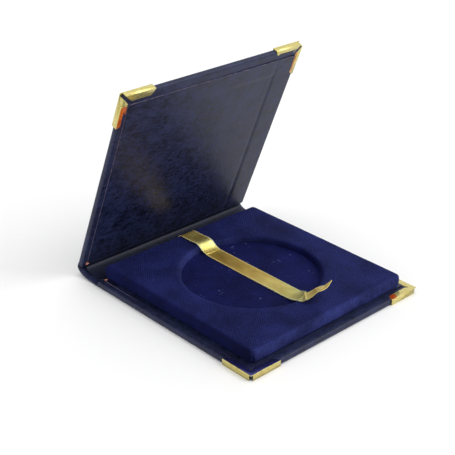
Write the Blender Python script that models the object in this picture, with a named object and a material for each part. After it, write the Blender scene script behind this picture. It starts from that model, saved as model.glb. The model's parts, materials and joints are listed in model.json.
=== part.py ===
"""Hinged presentation case for one medal, built as a bookbinder builds it, standing open.

Two leatherette-covered boards, the base and the lid, are joined by a narrow covered spine.
The base carries a velvet-wrapped insert with a round well, and a satin ribbon crosses the well.
Four folded brass corners protect the free corners of the boards.

The origin is the centre of the base's underside. +X runs along the folds, +Y from the opening
edge towards the spine, and +Z is up. Lengths are in metres; MM turns millimetres into metres.
"""

import math

import bmesh
import bpy
from mathutils import Matrix, Vector

MM = 0.001

# Driving dimensions of the case.
CASE_WIDTH = 120.0 * MM
PANEL_DEPTH = 116.2 * MM
SHEET = 0.45 * MM
BOARD = 1.6 * MM
GAP = 0.3 * MM
PANEL_THICKNESS = 2 * SHEET + BOARD + 2 * GAP
PANEL_EDGE_ROUND = 0.8 * MM
PANEL_CORNER_RADIUS = 1.5 * MM
BOARD_CORNER_RADIUS = 1.0 * MM
TURN_IN = 14.5 * MM

# Lining paper glued over the turned-in sheet.
LINING = 0.3 * MM
LINING_SIDE_INSET = 3.4 * MM
LINING_FRONT_INSET = 5.4 * MM
LINING_HINGE_INSET = 0.6 * MM

# The two folds. Each fold line lies inside the outer sheet, FOLD_LIFT above its outer face.
FOLD_LIFT = 0.36 * MM
BASE_FOLD_GAP = 1.2 * MM
LID_FOLD_GAP = 1.2 * MM
FOLD_CUT = 0.35 * MM
SPINE_LENGTH = 16.2 * MM
SPINE_ANGLE = math.radians(17.5)
LID_ANGLE = math.radians(111.3)
SPINE_CARD = 0.5 * MM
SPINE_CARD_MARGIN = 4.2 * MM
SPINE_CARD_END_INSET = 1.5 * MM

# The velvet insert and its well.
INSERT_WIDTH = 107.5 * MM
INSERT_FRONT = -52.4 * MM
INSERT_BACK = 56.8 * MM
INSERT_TOP = 11.0 * MM
INSERT_CORNER_RADIUS = 3.5 * MM
INSERT_EDGE_ROUND = 2.0 * MM
VELVET = 0.8 * MM
INSERT_BASE_BOARD = 1.5 * MM
WELL_CENTRE = Vector((-1.0 * MM, 2.6 * MM))
WELL_FLOOR_Z = 7.6 * MM
WELL_FLOOR_RADIUS = 35.3 * MM
WELL_RIM_RADIUS = 37.7 * MM
RIM_ROLL_WIDTH = 2.1 * MM
RIM_ROLL_HEIGHT = 1.5 * MM
RIM_ROLL_OUTSIDE = 0.9 * MM
RIM_ROLL_STEPS = 3
FLOOR_VELVET = 0.7 * MM
FLOOR_CARD = 0.8 * MM
WELL_SEGMENTS = 72

# The ribbon.
RIBBON_WIDTH = 10.0 * MM
RIBBON_THICKNESS = 0.25 * MM
RIBBON_CENTRE_X = 1.5 * MM
RIBBON_TAIL_LENGTH = 16.0 * MM
RIBBON_TAIL_ANGLE = math.radians(38.0)

# The ribbon's bends, in millimetres, as (distance towards the spine, height). They are measured
# from the insert's back face and top, from the well's back rim and the insert's top, from the
# back rim and the well's floor, and from the front rim and the floor.
BENDS_OVER_BACK = ((0.0, -4.5), (0.0, -2.0), (-0.7, -0.6), (-2.4, 0.0))
BENDS_AT_BACK_RIM = ((8.0, 0.0), (1.5, 0.3), (-1.2, 0.0), (-3.8, -2.0))
BENDS_BEFORE_MIDDLE = ((-6.8, 0.3), (-12.0, 0.0))
BENDS_AFTER_MIDDLE = ((8.0, 0.0), (4.4, 0.4), (2.4, 1.6))
RIBBON_FOOT = 0.6 * MM
CREASE_INSIDE_RIM = 0.4 * MM
CREASE_LIFT = 0.2 * MM

# The brass corners.
BRASS = 0.35 * MM
CORNER_LEG = 19.0 * MM
CORNER_BORDER = 3.2 * MM
CORNER_END_SLANT = 2.0 * MM
CORNER_NOTCH = 1.2 * MM
CORNER_TIP_SLOT = 1.8 * MM
TIP_SLOT_REACH = 8.0 * MM
CORNER_PROUD = 0.3 * MM

# Places that follow from the dimensions above.
HALF_WIDTH = CASE_WIDTH / 2
BASE_HINGE_EDGE = PANEL_DEPTH / 2
BASE_FOLD_Y = BASE_HINGE_EDGE + BASE_FOLD_GAP
LINING_TOP = PANEL_THICKNESS + GAP + LINING
INSERT_FLOOR = LINING_TOP + GAP
WELL_WALL_FOOT = WELL_FLOOR_Z - FLOOR_VELVET
FAR = 200.0 * MM


# Building helpers.


def clear_scene():
    for obj in list(bpy.data.objects):
        bpy.data.objects.remove(obj, do_unlink=True)


def make_material(name, colour, roughness, metallic=0.0):
    material = bpy.data.materials.new(name)
    material.use_nodes = True
    shader = material.node_tree.nodes["Principled BSDF"]
    shader.inputs["Base Color"].default_value = (*colour, 1.0)
    shader.inputs["Roughness"].default_value = roughness
    shader.inputs["Metallic"].default_value = metallic
    return material


def add_empty(name, location, angle, parent=None):
    """An empty on a fold line, turned about X, that carries the pieces of one moving body."""
    empty = bpy.data.objects.new(name, None)
    bpy.context.scene.collection.objects.link(empty)
    empty.location = location
    empty.rotation_euler = (angle, 0.0, 0.0)
    empty.parent = parent
    return empty


def add_object(name, bm, material, parent=None):
    bm.normal_update()
    bmesh.ops.recalc_face_normals(bm, faces=bm.faces)
    mesh = bpy.data.meshes.new(name)
    bm.to_mesh(mesh)
    bm.free()
    obj = bpy.data.objects.new(name, mesh)
    bpy.context.scene.collection.objects.link(obj)
    obj.parent = parent
    if material is not None:
        mesh.materials.append(material)
    return obj


def smooth(obj, angle=35.0):
    obj.data.shade_smooth()
    obj.data.set_sharp_from_angle(angle=math.radians(angle))


def prism(outline, low, high):
    """A closed solid of this XY outline between two heights."""
    bm = bmesh.new()
    bottom = bm.faces.new([bm.verts.new((x, y, low)) for x, y in outline])
    grown = bmesh.ops.extrude_face_region(bm, geom=[bottom])
    top = [item for item in grown["geom"] if isinstance(item, bmesh.types.BMVert)]
    bmesh.ops.translate(bm, verts=top, vec=(0.0, 0.0, high - low))
    return bm


def block(x_range, y_range, z_range):
    (x0, x1), (y0, y1) = x_range, y_range
    return prism([(x0, y0), (x1, y0), (x1, y1), (x0, y1)], *z_range)


def rounded_outline(x_range, y_range, radii, steps=5):
    """A rectangle's outline with one radius for its low-Y corners and one for its high-Y corners."""
    (x0, x1), (y0, y1) = x_range, y_range
    low, high = radii
    corners = ((x0, y0, low), (x1, y0, low), (x1, y1, high), (x0, y1, high))
    points = []
    for corner, (x, y, radius) in enumerate(corners):
        if radius == 0.0:
            points.append((x, y))
            continue
        centre_x = x + radius if x == x0 else x - radius
        centre_y = y + radius if y == y0 else y - radius
        for step in range(steps + 1):
            angle = math.pi + (corner + step / steps) * math.pi / 2
            points.append((centre_x + radius * math.cos(angle), centre_y + radius * math.sin(angle)))
    return points


def turned(profile, centre, segments=WELL_SEGMENTS):
    """A closed solid turned about a vertical axis from (radius, height) points, lowest first."""
    bm = bmesh.new()
    rings = []
    for radius, height in profile:
        ring = []
        for index in range(segments):
            angle = 2 * math.pi * index / segments
            place = (centre.x + radius * math.cos(angle), centre.y + radius * math.sin(angle), height)
            ring.append(bm.verts.new(place))
        rings.append(ring)
    for lower, upper in zip(rings, rings[1:]):
        for index in range(segments):
            following = (index + 1) % segments
            bm.faces.new((lower[index], lower[following], upper[following], upper[index]))
    bm.faces.new(reversed(rings[0]))
    bm.faces.new(rings[-1])
    return bm


def bevel_level_edges(bm, height, width, segments):
    """Rounds the edges that lie wholly at one height."""
    level = [e for e in bm.edges if all(abs(v.co.z - height) < 1e-7 for v in e.verts)]
    bmesh.ops.bevel(bm, geom=level, offset=width, segments=segments, profile=0.5, affect="EDGES")
    return bm


def cut(target, bm, name, placing=None):
    """Subtracts a solid from target with a Boolean modifier, and returns the hidden cutter."""
    if placing is not None:
        bm.transform(placing)
    cutter = add_object(f"cutter_{target.name}_{name}", bm, None, target.parent)
    cutter.hide_render = True
    cutter.display_type = "WIRE"
    modifier = target.modifiers.new(name, "BOOLEAN")
    modifier.operation = "DIFFERENCE"
    modifier.solver = "EXACT"
    modifier.object = cutter
    return cutter


# The two panels. A panel is drawn with its hinge edge at y = 0, its opening edge at
# y = PANEL_DEPTH and its outer face at z = 0; a placing matrix then lays it on its body.


def base_placing():
    return Matrix.Translation((0.0, BASE_HINGE_EDGE, 0.0)) @ Matrix.Diagonal((1.0, -1.0, 1.0, 1.0))


def lid_placing():
    return Matrix.Translation((0.0, LID_FOLD_GAP, -FOLD_LIFT))


def panel_board(name, placing, parent, material):
    reach = HALF_WIDTH - SHEET - GAP
    heights = (SHEET + GAP, SHEET + GAP + BOARD)
    depth = PANEL_DEPTH - SHEET - GAP
    outline = rounded_outline((-reach, reach), (0.0, depth), (0.0, BOARD_CORNER_RADIUS))
    bm = prism(outline, *heights)
    bm.transform(placing)
    return add_object(name, bm, material, parent)


def panel_cover(name, placing, parent, material, fold_gap):
    """The outer sheet: it wraps three edges, turns in on the inner face and runs to the fold line."""
    flap = fold_gap - FOLD_CUT
    across = (-HALF_WIDTH, HALF_WIDTH)
    outline = rounded_outline(across, (-flap, PANEL_DEPTH), (0.0, PANEL_CORNER_RADIUS))
    bm = prism(outline, 0.0, PANEL_THICKNESS)
    free_edges = [
        e
        for e in bm.edges
        if abs(e.verts[0].co.z - e.verts[1].co.z) < 1e-7 and max(v.co.y for v in e.verts) > 0.0
    ]
    bmesh.ops.bevel(
        bm, geom=free_edges, offset=PANEL_EDGE_ROUND, segments=3, profile=0.5, affect="EDGES"
    )
    bm.transform(placing)
    cover = add_object(name, bm, material, parent)
    reach = HALF_WIDTH - SHEET
    inner_sheet = PANEL_THICKNESS - SHEET
    hollow = block((-reach, reach), (-FAR, PANEL_DEPTH - SHEET), (SHEET, inner_sheet))
    cut(cover, hollow, "board_space", placing)
    window = HALF_WIDTH - TURN_IN
    opening = block((-window, window), (-FAR, PANEL_DEPTH - TURN_IN), (inner_sheet - GAP, FAR))
    cut(cover, opening, "turn_in_window", placing)
    above_flap = block((-FAR, FAR), (-FAR, 0.0), (SHEET, FAR))
    cut(cover, above_flap, "above_flap", placing)
    smooth(cover)
    return cover


def panel_lining(name, placing, parent, material):
    reach = HALF_WIDTH - LINING_SIDE_INSET
    sides = (LINING_HINGE_INSET, PANEL_DEPTH - LINING_FRONT_INSET)
    bm = block((-reach, reach), sides, (PANEL_THICKNESS + GAP, LINING_TOP))
    bm.transform(placing)
    return add_object(name, bm, material, parent)


# The brass corners. A corner is drawn with the panel's own tip at the origin, its legs along
# +X and +Y, its two folded tabs at height 0 and its whole plate at the panel's other face.


def corner_outline(outset):
    """The plate's outline: two slant-ended legs that meet in a notch."""
    outer = -GAP - BRASS - outset
    inner = CORNER_BORDER + outset
    end = CORNER_LEG + outset
    slant = end - CORNER_END_SLANT
    notch = inner - CORNER_NOTCH
    shoulder = inner + CORNER_NOTCH
    leg = [(end, outer), (end, 0.0), (slant, inner), (shoulder, inner)]
    mirrored = [(y, x) for x, y in reversed(leg)]
    return [(outer, outer), *leg, (notch, notch), *mirrored]


def corner_placing(side, plate_inside, placing):
    """Lays a corner on a panel's free corner, on the left (-1) or right (+1) side."""
    if plate_inside:
        upright = Matrix.Identity(4)
    else:
        flipped = Matrix.Diagonal((1.0, 1.0, -1.0, 1.0))
        upright = Matrix.Translation((0.0, 0.0, PANEL_THICKNESS)) @ flipped
    at_tip = Matrix.Translation((side * HALF_WIDTH, PANEL_DEPTH, 0.0))
    inwards = Matrix.Diagonal((-side, -1.0, 1.0, 1.0))
    return placing @ at_tip @ inwards @ upright


def brass_corner(name, placing, parent, material):
    plate_under = PANEL_THICKNESS - BRASS + CORNER_PROUD
    bm = prism(corner_outline(0.0), 0.0, PANEL_THICKNESS + CORNER_PROUD)
    bm.transform(placing)
    corner = add_object(name, bm, material, parent)
    panel_space = block((-GAP, FAR), (-GAP, FAR), (BRASS, plate_under))
    cut(corner, panel_space, "panel_space", placing)
    half_slot = CORNER_TIP_SLOT / 2
    slot = block((-FAR, TIP_SLOT_REACH), (-half_slot, half_slot), (-FAR, plate_under))
    diagonal = Matrix.Rotation(math.pi / 4, 4, "Z")
    cut(corner, slot, "tip_slot", placing @ diagonal)
    return corner


def seat_corner(cover, placing, name):
    """Clears the cover's sheet where the corner's tabs and plate are pressed into it."""
    reach = CORNER_LEG + GAP
    border = CORNER_BORDER + GAP
    leg = [(reach, -FAR), (reach, border), (border, border)]
    outline = [(-FAR, -FAR), *leg, (border, reach), (-FAR, reach)]
    cut(cover, prism(outline, -FAR, BRASS + GAP), f"{name}_tabs", placing)
    cut(cover, prism(outline, PANEL_THICKNESS - SHEET, FAR), f"{name}_plate", placing)


def build_panel(prefix, placing, parent, fold_gap, plate_inside, materials):
    panel_board(f"{prefix}_board", placing, parent, materials["greyboard"])
    cover = panel_cover(f"{prefix}_cover", placing, parent, materials["leatherette"], fold_gap)
    panel_lining(f"{prefix}_lining", placing, parent, materials["lining"])
    for side_name, side in (("left", -1.0), ("right", 1.0)):
        corner_place = corner_placing(side, plate_inside, placing)
        seat_corner(cover, corner_place, side_name)
        brass_corner(f"{prefix}_corner_{side_name}", corner_place, parent, materials["brass"])


# The spine: a covered strip between the two folds, with a card in its middle.


def build_spine(parent, materials):
    """The strip is drawn from the base's fold at y = 0 to the lid's fold at y = SPINE_LENGTH."""
    sheet_top = SHEET - FOLD_LIFT
    card_low = sheet_top + GAP
    card_high = card_low + SPINE_CARD
    across = (-HALF_WIDTH, HALF_WIDTH)
    card_reach = HALF_WIDTH - SPINE_CARD_END_INSET
    lining_reach = HALF_WIDTH - LINING_SIDE_INSET
    along_cover = (FOLD_CUT, SPINE_LENGTH - FOLD_CUT)
    along_card = (SPINE_CARD_MARGIN, SPINE_LENGTH - SPINE_CARD_MARGIN)
    across_card = (-card_reach, card_reach)
    across_lining = (-lining_reach, lining_reach)
    lining_low = card_high + GAP
    pieces = (
        ("spine_cover", across, along_cover, (-FOLD_LIFT, sheet_top), "leatherette"),
        ("spine_card", across_card, along_card, (card_low, card_high), "greyboard"),
        ("spine_lining", across_lining, along_card, (lining_low, lining_low + LINING), "lining"),
    )
    for name, x_range, y_range, z_range, material in pieces:
        add_object(name, block(x_range, y_range, z_range), materials[material], parent)


# The insert: a base board and a ring of board wrapped in velvet, with a separate well floor.


def insert_outline(inset, radius):
    reach = INSERT_WIDTH / 2 - inset
    return rounded_outline((-reach, reach), (INSERT_FRONT + inset, INSERT_BACK - inset), (radius, radius))


def well_profile(outset, low, high):
    """(radius, height) of the well's wall: upright at its foot, leaning outwards, rolled at the rim."""
    foot = WELL_FLOOR_RADIUS + outset
    mouth = WELL_RIM_RADIUS + RIM_ROLL_OUTSIDE + outset
    wall = [(foot, low), (foot, WELL_FLOOR_Z)]
    for step in range(RIM_ROLL_STEPS + 1):
        turn = math.pi / 2 * step / RIM_ROLL_STEPS
        radius = mouth - RIM_ROLL_WIDTH * math.cos(turn)
        height = INSERT_TOP - RIM_ROLL_HEIGHT * (1 - math.sin(turn))
        wall.append((radius, height))
    return [*wall, (mouth, high)]


def velvet_cover(material):
    """One velvet skin: the top, the four sides and the well's wall, open underneath."""
    bm = prism(insert_outline(0.0, INSERT_CORNER_RADIUS), INSERT_FLOOR, INSERT_TOP)
    bevel_level_edges(bm, INSERT_TOP, INSERT_EDGE_ROUND, 4)
    velvet = add_object("velvet_cover", bm, material)
    inside_top = INSERT_TOP - VELVET
    inside = prism(insert_outline(VELVET, INSERT_CORNER_RADIUS - VELVET), 0.0, inside_top)
    bevel_level_edges(inside, inside_top, INSERT_EDGE_ROUND - VELVET, 3)
    hollow = cut(velvet, inside, "inside")
    cut(hollow, turned(well_profile(VELVET, WELL_WALL_FOOT, FAR), WELL_CENTRE), "well_wall")
    cut(velvet, turned(well_profile(0.0, -MM, FAR), WELL_CENTRE), "well")
    smooth(velvet)
    return velvet


def build_insert(materials):
    inset = VELVET + GAP
    outline = insert_outline(inset, INSERT_CORNER_RADIUS - inset)
    base_top = INSERT_FLOOR + INSERT_BASE_BOARD
    add_object("insert_base_board", prism(outline, INSERT_FLOOR, base_top), materials["greyboard"])
    ring_low = base_top + GAP
    ring_top = INSERT_TOP - VELVET - GAP
    ring_blank = prism(outline, ring_low, ring_top)
    bevel_level_edges(ring_blank, ring_top, INSERT_EDGE_ROUND - VELVET, 3)
    ring = add_object("insert_ring_board", ring_blank, materials["greyboard"])
    hole = WELL_RIM_RADIUS + VELVET + GAP
    cut(ring, turned([(hole, 0.0), (hole, FAR)], WELL_CENTRE), "hole")
    velvet_cover(materials["velvet"])
    disc = WELL_FLOOR_RADIUS - GAP
    card = turned([(disc, ring_low), (disc, ring_low + FLOOR_CARD)], WELL_CENTRE)
    smooth(add_object("well_floor_card", card, materials["greyboard"]))
    pile = turned([(disc, WELL_WALL_FOOT), (disc, WELL_FLOOR_Z)], WELL_CENTRE)
    smooth(add_object("well_floor_velvet", pile, materials["velvet"]))


# The ribbon: it comes up behind the insert, crosses the well's floor and ends in a free tail.


def through(points, steps=4):
    """Points of a smooth curve through the given (y, z) points."""
    padded = [points[0] * 2 - points[1], *points, points[-1] * 2 - points[-2]]
    smoothed = []
    for a, b, c, d in zip(padded, padded[1:], padded[2:], padded[3:]):
        for step in range(steps):
            t = step / steps
            squared = (2 * a - 5 * b + 4 * c - d) * t**2
            cubed = (3 * b - a - 3 * c + d) * t**3
            smoothed.append((2 * b + (c - a) * t + squared + cubed) / 2)
    return [*smoothed, points[-1]]


def measured_from(start, bends):
    """Points at these (distance, height) steps, in millimetres, from a starting (y, z) place."""
    return [start + Vector(bend) * MM for bend in bends]


def ribbon_route():
    """The ribbon's centreline as (y, z) points, from behind the insert to the tip of its tail."""
    clear = GAP + RIBBON_THICKNESS / 2
    behind = INSERT_BACK + clear
    top = INSERT_TOP + clear
    floor = WELL_FLOOR_Z + clear
    back_rim = WELL_CENTRE.y + WELL_RIM_RADIUS
    front_rim = WELL_CENTRE.y - WELL_RIM_RADIUS
    bends = [
        Vector((behind, INSERT_FLOOR + RIBBON_FOOT)),
        *measured_from(Vector((behind, top)), BENDS_OVER_BACK),
        *measured_from(Vector((back_rim, top)), BENDS_AT_BACK_RIM),
        *measured_from(Vector((back_rim, floor)), BENDS_BEFORE_MIDDLE),
        Vector((WELL_CENTRE.y, floor)),
        *measured_from(Vector((front_rim, floor)), BENDS_AFTER_MIDDLE),
    ]
    crease = Vector((front_rim + CREASE_INSIDE_RIM, top + CREASE_LIFT))
    tail_end = Vector((-math.cos(RIBBON_TAIL_ANGLE), math.sin(RIBBON_TAIL_ANGLE))) * RIBBON_TAIL_LENGTH
    return [*through(bends), crease, crease + tail_end / 2, crease + tail_end]


def build_ribbon(material):
    route = ribbon_route()
    low, high = RIBBON_CENTRE_X - RIBBON_WIDTH / 2, RIBBON_CENTRE_X + RIBBON_WIDTH / 2
    bm = bmesh.new()
    sections = []
    for index, point in enumerate(route):
        before = route[max(index - 1, 0)]
        after = route[min(index + 1, len(route) - 1)]
        along = (after - before).normalized()
        across = Vector((-along.y, along.x)) * RIBBON_THICKNESS / 2
        above = point + across
        below = point - across
        corners = ((low, above), (high, above), (high, below), (low, below))
        sections.append([bm.verts.new((x, place.x, place.y)) for x, place in corners])
    for here, following in zip(sections, sections[1:]):
        for side in range(4):
            turn = (side + 1) % 4
            bm.faces.new((here[side], here[turn], following[turn], following[side]))
    bm.faces.new(reversed(sections[0]))
    bm.faces.new(sections[-1])
    return add_object("ribbon", bm, material)


def main():
    clear_scene()
    materials = {
        "leatherette": make_material("leatherette", (0.012, 0.015, 0.045), 0.42),
        "lining": make_material("lining", (0.011, 0.013, 0.038), 0.35),
        "greyboard": make_material("greyboard", (0.27, 0.25, 0.22), 0.9),
        "velvet": make_material("velvet", (0.014, 0.016, 0.13), 0.95),
        "satin": make_material("satin", (0.50, 0.38, 0.10), 0.35),
        "brass": make_material("brass", (0.83, 0.62, 0.22), 0.25, 1.0),
    }
    build_panel("base", base_placing(), None, BASE_FOLD_GAP, True, materials)
    build_insert(materials)
    build_ribbon(materials["satin"])
    spine_fold = add_empty("spine_fold", (0.0, BASE_FOLD_Y, FOLD_LIFT), SPINE_ANGLE)
    build_spine(spine_fold, materials)
    lid_hinge = add_empty("lid_hinge", (0.0, SPINE_LENGTH, 0.0), LID_ANGLE - SPINE_ANGLE, spine_fold)
    build_panel("lid", lid_placing(), lid_hinge, LID_FOLD_GAP, False, materials)


main()
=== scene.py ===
"""Looks of the hinged medal case: leatherette, velvet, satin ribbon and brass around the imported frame.

Lengths are in millimetres until add_mesh() turns them into metres, except where a comment says
otherwise. A panel has its own coordinates: x across, y from its hinge edge to its opening edge, z
from its outer face inwards.
"""

import json
import math

import bmesh
import bpy
from mathutils import Matrix, Vector, noise


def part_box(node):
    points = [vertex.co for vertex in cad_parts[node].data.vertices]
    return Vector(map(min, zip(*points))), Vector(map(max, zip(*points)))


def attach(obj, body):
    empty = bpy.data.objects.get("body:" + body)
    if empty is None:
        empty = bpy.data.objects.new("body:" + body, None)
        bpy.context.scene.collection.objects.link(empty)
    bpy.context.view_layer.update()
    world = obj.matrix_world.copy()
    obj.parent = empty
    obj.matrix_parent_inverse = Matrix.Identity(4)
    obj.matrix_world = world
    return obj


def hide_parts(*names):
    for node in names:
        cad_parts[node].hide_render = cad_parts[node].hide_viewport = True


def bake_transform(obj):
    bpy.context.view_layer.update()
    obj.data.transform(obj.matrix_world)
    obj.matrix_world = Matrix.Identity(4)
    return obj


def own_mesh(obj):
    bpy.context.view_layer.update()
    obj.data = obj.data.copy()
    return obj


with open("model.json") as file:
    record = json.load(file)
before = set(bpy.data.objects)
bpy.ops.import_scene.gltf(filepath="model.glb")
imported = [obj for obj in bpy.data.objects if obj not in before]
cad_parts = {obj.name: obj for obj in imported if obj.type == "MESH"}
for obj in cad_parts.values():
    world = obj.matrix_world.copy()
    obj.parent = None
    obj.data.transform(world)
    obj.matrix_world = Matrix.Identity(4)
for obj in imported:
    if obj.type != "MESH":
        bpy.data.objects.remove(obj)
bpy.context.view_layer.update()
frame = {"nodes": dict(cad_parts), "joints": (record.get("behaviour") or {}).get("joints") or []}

MM = 0.001

# Sizes of the case, as the CAD model builds it.
HALF_WIDTH = 60.0
PANEL_DEPTH = 116.2
PANEL_THICKNESS = 3.1
PANEL_CORNER = 1.5
FOLD_LIFT = 0.36
LID_FOLD_GAP = 1.2
LID_ANGLE = math.radians(111.3)
LINING_THICKNESS = 0.25
LINING_GAP = 0.02
LINING_REACH = 56.6
LINING_FRONT_INSET = 5.4
TURN_IN = 14.5
TURN_IN_STEP = 0.26

JOINTS = {joint["name"]: joint for joint in frame["joints"]}
LID_HINGE = Vector(JOINTS["lid_hinge"]["pos_m"]) / MM
BASE_HINGE_EDGE = PANEL_DEPTH / 2

INSERT_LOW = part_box("velvet_cover")[0] / MM
INSERT_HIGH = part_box("velvet_cover")[1] / MM
FLOOR_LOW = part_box("well_floor_velvet")[0] / MM
FLOOR_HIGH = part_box("well_floor_velvet")[1] / MM
WELL_MARGIN = 1.3
RIM_WIDTH = 2.9
WELL_CENTRE = (FLOOR_LOW + FLOOR_HIGH) / 2
WELL_RADIUS = (FLOOR_HIGH.x - FLOOR_LOW.x) / 2 + WELL_MARGIN
RIM_RADIUS = WELL_RADIUS + RIM_WIDTH


# Mesh helpers.


def soft_noise(point, size, seed=0.0):
    """Smooth noise from -1 to 1 with features of about this size in millimetres."""
    x, y, z = (coordinate / size for coordinate in point)
    return noise.noise(Vector((x + seed, y - seed, z + 2 * seed)))


def span(low, high, count):
    """This many evenly spaced values from low to high."""
    return [low + (high - low) * step / (count - 1) for step in range(count)]


def smoothstep(low, high, value):
    t = min(1.0, max(0.0, (value - low) / (high - low)))
    return t * t * (3 - 2 * t)


def add_mesh(name, points, faces, materials, sharp=42.0, second=()):
    """A smooth-shaded object; faces whose index is in second take the second material."""
    mesh = bpy.data.meshes.new(name)
    mesh.from_pydata([Vector(point) * MM for point in points], [], faces)
    for material in materials:
        mesh.materials.append(material)
    for index in second:
        mesh.polygons[index].material_index = 1
    bm = bmesh.new()
    bm.from_mesh(mesh)
    bmesh.ops.recalc_face_normals(bm, faces=bm.faces)
    bm.to_mesh(mesh)
    bm.free()
    mesh.shade_smooth()
    mesh.set_sharp_from_angle(angle=math.radians(sharp))
    obj = bpy.data.objects.new(name, mesh)
    bpy.context.scene.collection.objects.link(obj)
    return obj


def loft(name, loops, materials, ends=True, ring=False, sharp=42.0, edge_segments=()):
    """Joins closed loops of points into one skin. Faces on the loop segments in edge_segments,
    and the end caps where those are given, take the second material."""
    count = len(loops[0])
    points = [point for loop in loops for point in loop]
    faces = []
    second = []
    pairs = list(range(len(loops) - 1))
    if ring:
        pairs.append(len(loops) - 1)
    for row in pairs:
        following = (row + 1) % len(loops)
        for column in range(count):
            beside = (column + 1) % count
            if column in edge_segments:
                second.append(len(faces))
            here, there = row * count, following * count
            faces.append((here + column, here + beside, there + beside, there + column))
    if ends and not ring:
        if edge_segments:
            second.extend((len(faces), len(faces) + 1))
        faces.append(tuple(reversed(range(count))))
        faces.append(tuple(range((len(loops) - 1) * count, len(loops) * count)))
    return add_mesh(name, points, faces, materials, sharp, second)


def through(points, steps=8):
    """Points of a smooth curve through these points, which may have any number of dimensions."""
    vectors = [Vector(point) for point in points]
    padded = [vectors[0] * 2 - vectors[1], *vectors, vectors[-1] * 2 - vectors[-2]]
    curve = []
    for a, b, c, d in zip(padded, padded[1:], padded[2:], padded[3:]):
        for step in range(steps):
            t = step / steps
            squared = (2 * a - 5 * b + 4 * c - d) * t**2
            cubed = (3 * b - a - 3 * c + d) * t**3
            curve.append((2 * b + (c - a) * t + squared + cubed) / 2)
    return [*curve, vectors[-1]]


# Where the panels lie.


def on_base(x, y, z):
    return Vector((x, BASE_HINGE_EDGE - y, z))


def on_lid(x, y, z):
    along = y + LID_FOLD_GAP
    out = z - FOLD_LIFT
    return Vector((
        x,
        LID_HINGE.y + along * math.cos(LID_ANGLE) - out * math.sin(LID_ANGLE),
        LID_HINGE.z + along * math.sin(LID_ANGLE) + out * math.cos(LID_ANGLE),
    ))


# Materials. Their patterns lie in object coordinates, or in the ribbon's UV map, and so move with
# the piece. Only the velvet's painted light and shade is fixed in the room, and the velvet is too.


# Painted light and shade on the velvet, lit as if from this way: the tones run from a face turned
# away from it, painted dark, to one turned towards it, painted pale.
PAINTED_LIGHT_FROM = (0.50, -0.85, 0.15)
PAINTED_LIGHT_TONES = (
    (0.05, (0.3, 0.34, 0.6)),
    (0.3, (0.42, 0.45, 0.66)),
    (0.57, (1.0, 1.0, 1.0)),
    (0.72, (1.5, 1.45, 1.25)),
    (0.95, (2.6, 2.5, 1.9)),
)

# Painted light and shade along the ribbon's length, as tints of its gold over this span of distances
# past the tail's crease: plain behind the insert, a painted highlight where it bends into the well,
# then painted darker, and golden on the tail.
RIBBON_PAINTED_LIGHT_SPAN = (-100.0, 25.0)
RIBBON_PAINTED_LIGHT_TONES = (
    (0.0, (1.0, 1.0, 1.0)),
    (0.12, (1.0, 1.06, 1.2)),
    (0.16, (1.1, 1.4, 2.0)),
    (0.2, (1.0, 1.1, 1.2)),
    (0.28, (1.05, 0.93, 0.8)),
    (0.48, (0.95, 0.92, 0.85)),
    (0.68, (0.7, 0.84, 0.94)),
    (0.795, (0.7, 0.86, 0.96)),
    (0.82, (0.85, 0.85, 0.6)),
    (1.0, (0.9, 0.85, 0.55)),
)


def shader_of(name, **sockets):
    """A new material; sockets sets constants on its Principled BSDF, with _ for a space."""
    material = bpy.data.materials.new(name)
    material.use_nodes = True
    shader = material.node_tree.nodes["Principled BSDF"]
    for socket, value in sockets.items():
        if isinstance(value, tuple):
            value = (*value, 1.0)
        shader.inputs[socket.replace("_", " ")].default_value = value
    return material, material.node_tree, shader


def node(tree, kind, inputs=None, **settings):
    made = tree.nodes.new(kind)
    for key, value in settings.items():
        setattr(made, key, value)
    for key, value in (inputs or {}).items():
        if isinstance(value, bpy.types.NodeSocket):
            tree.links.new(value, made.inputs[key])
        else:
            made.inputs[key].default_value = value
    return made


def object_place(tree):
    return node(tree, "ShaderNodeTexCoord").outputs["Object"]


def noise_at(tree, place, size, detail=3.0, roughness=0.5, stretch=None):
    """Noise of about this size in millimetres; stretch scales the coordinates first."""
    if stretch:
        place = node(tree, "ShaderNodeMapping", {"Vector": place, "Scale": stretch}).outputs["Vector"]
    inputs = {"Vector": place, "Scale": 1.0 / (size * MM), "Detail": detail, "Roughness": roughness}
    return node(tree, "ShaderNodeTexNoise", inputs).outputs["Fac"]


def ramp(tree, factor, stops):
    """A colour ramp from (position, colour) stops."""
    made = node(tree, "ShaderNodeValToRGB", {"Fac": factor})
    elements = made.color_ramp.elements
    while len(elements) < len(stops):
        elements.new(1.0)
    for element, (position, colour) in zip(elements, stops):
        element.position = position
        element.color = (*colour, 1.0)
    return made.outputs["Color"]


def levels(tree, value, low, high, to_low, to_high):
    inputs = {"Value": value, "From Min": low, "From Max": high, "To Min": to_low, "To Max": to_high}
    return node(tree, "ShaderNodeMapRange", inputs).outputs["Result"]


def maths(tree, operation, *values):
    made = node(tree, "ShaderNodeMath", operation=operation)
    for index, value in enumerate(values):
        if isinstance(value, bpy.types.NodeSocket):
            tree.links.new(value, made.inputs[index])
        else:
            made.inputs[index].default_value = value
    return made.outputs["Value"]


def weighted_sum(tree, *terms):
    """The sum of (value, weight) terms."""
    (first, weight), *others = terms
    total = maths(tree, "MULTIPLY", first, weight)
    for value, weight in others:
        total = maths(tree, "ADD", total, maths(tree, "MULTIPLY", value, weight))
    return total


def mix_colours(tree, factor, first, second, blend="MIX"):
    made = node(tree, "ShaderNodeMix", data_type="RGBA", blend_type=blend)
    for index, value in ((0, factor), (6, first), (7, second)):
        if isinstance(value, bpy.types.NodeSocket):
            tree.links.new(value, made.inputs[index])
        else:
            made.inputs[index].default_value = (*value, 1.0) if isinstance(value, tuple) else value
    return made.outputs[2]


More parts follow.
